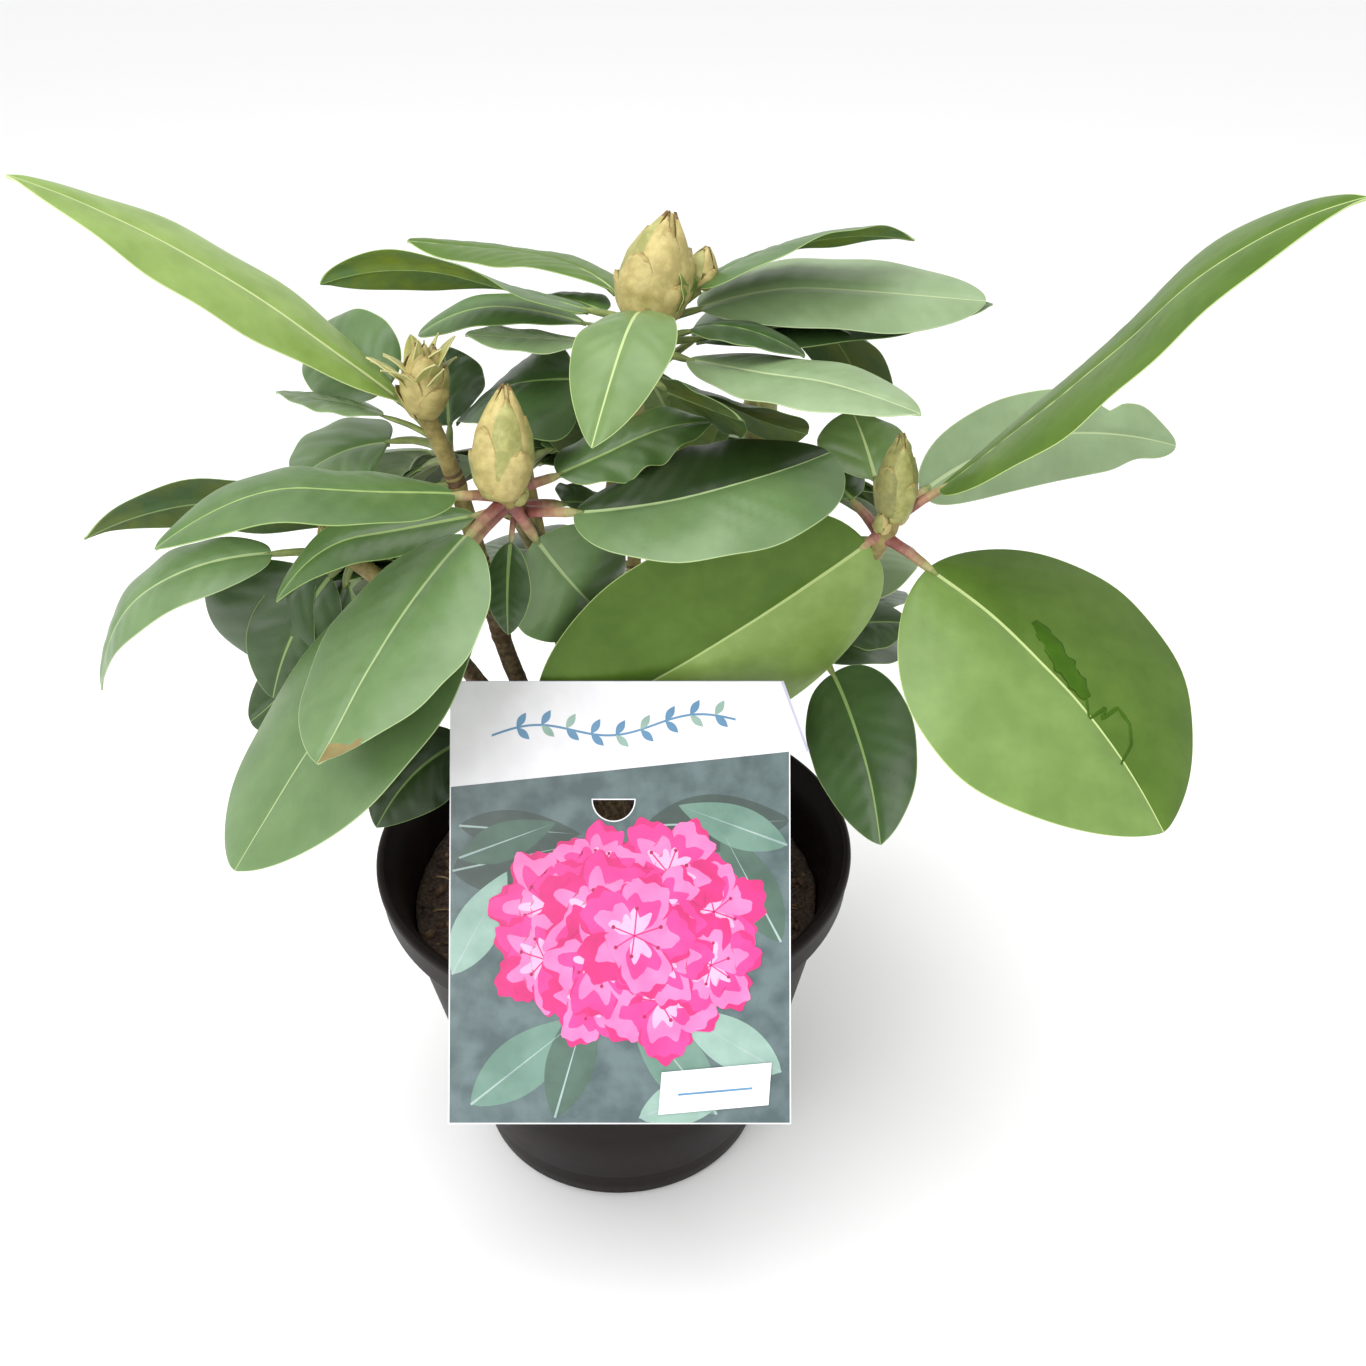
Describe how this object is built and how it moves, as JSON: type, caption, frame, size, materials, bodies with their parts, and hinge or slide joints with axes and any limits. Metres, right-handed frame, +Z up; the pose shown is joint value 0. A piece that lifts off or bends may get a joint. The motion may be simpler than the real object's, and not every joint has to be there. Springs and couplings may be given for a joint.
{
  "type": "potted rhododendron",
  "caption": "Young evergreen shrub in a round nursery pot: a short forked trunk with whorls of broad leathery leaves round plump flower buds, and a blank picture card leaning on the rim.",
  "frame": {"origin": "centre of the pot's flat underside", "axes": "+Z up along the pot's axis, -Y towards the card that leans on the front of the rim, +X to the right"},
  "size_m": [0.3458, 0.2742, 0.3722],
  "materials": {
    "pot": "satin",
    "growing_medium": "matte",
    "card": "satin",
    "bark": "matte",
    "foliage": "satin"
  },
  "bodies": {
    "root": {"pot": "pot", "growing_medium": "growing_medium", "label_card": "card", "trunk": "bark", "bough_top": "bark", "leaves_top": "foliage", "bough_front_left": "bark", "leaves_front_left": "foliage", "bough_high_left": "bark", "leaves_high_left": "foliage", "bough_right": "bark", "leaves_right": "foliage", "bough_low_left": "bark", "leaves_low_left": "foliage", "bough_low_right": "bark", "leaves_low_right": "foliage", "bough_low_front": "bark", "leaves_low_front": "foliage", "bough_back_right": "bark", "leaves_back_right": "foliage", "bough_back_left": "bark", "leaves_back_left": "foliage", "bough_back_low": "bark", "leaves_back_low": "foliage"}
  },
  "joints": []
}
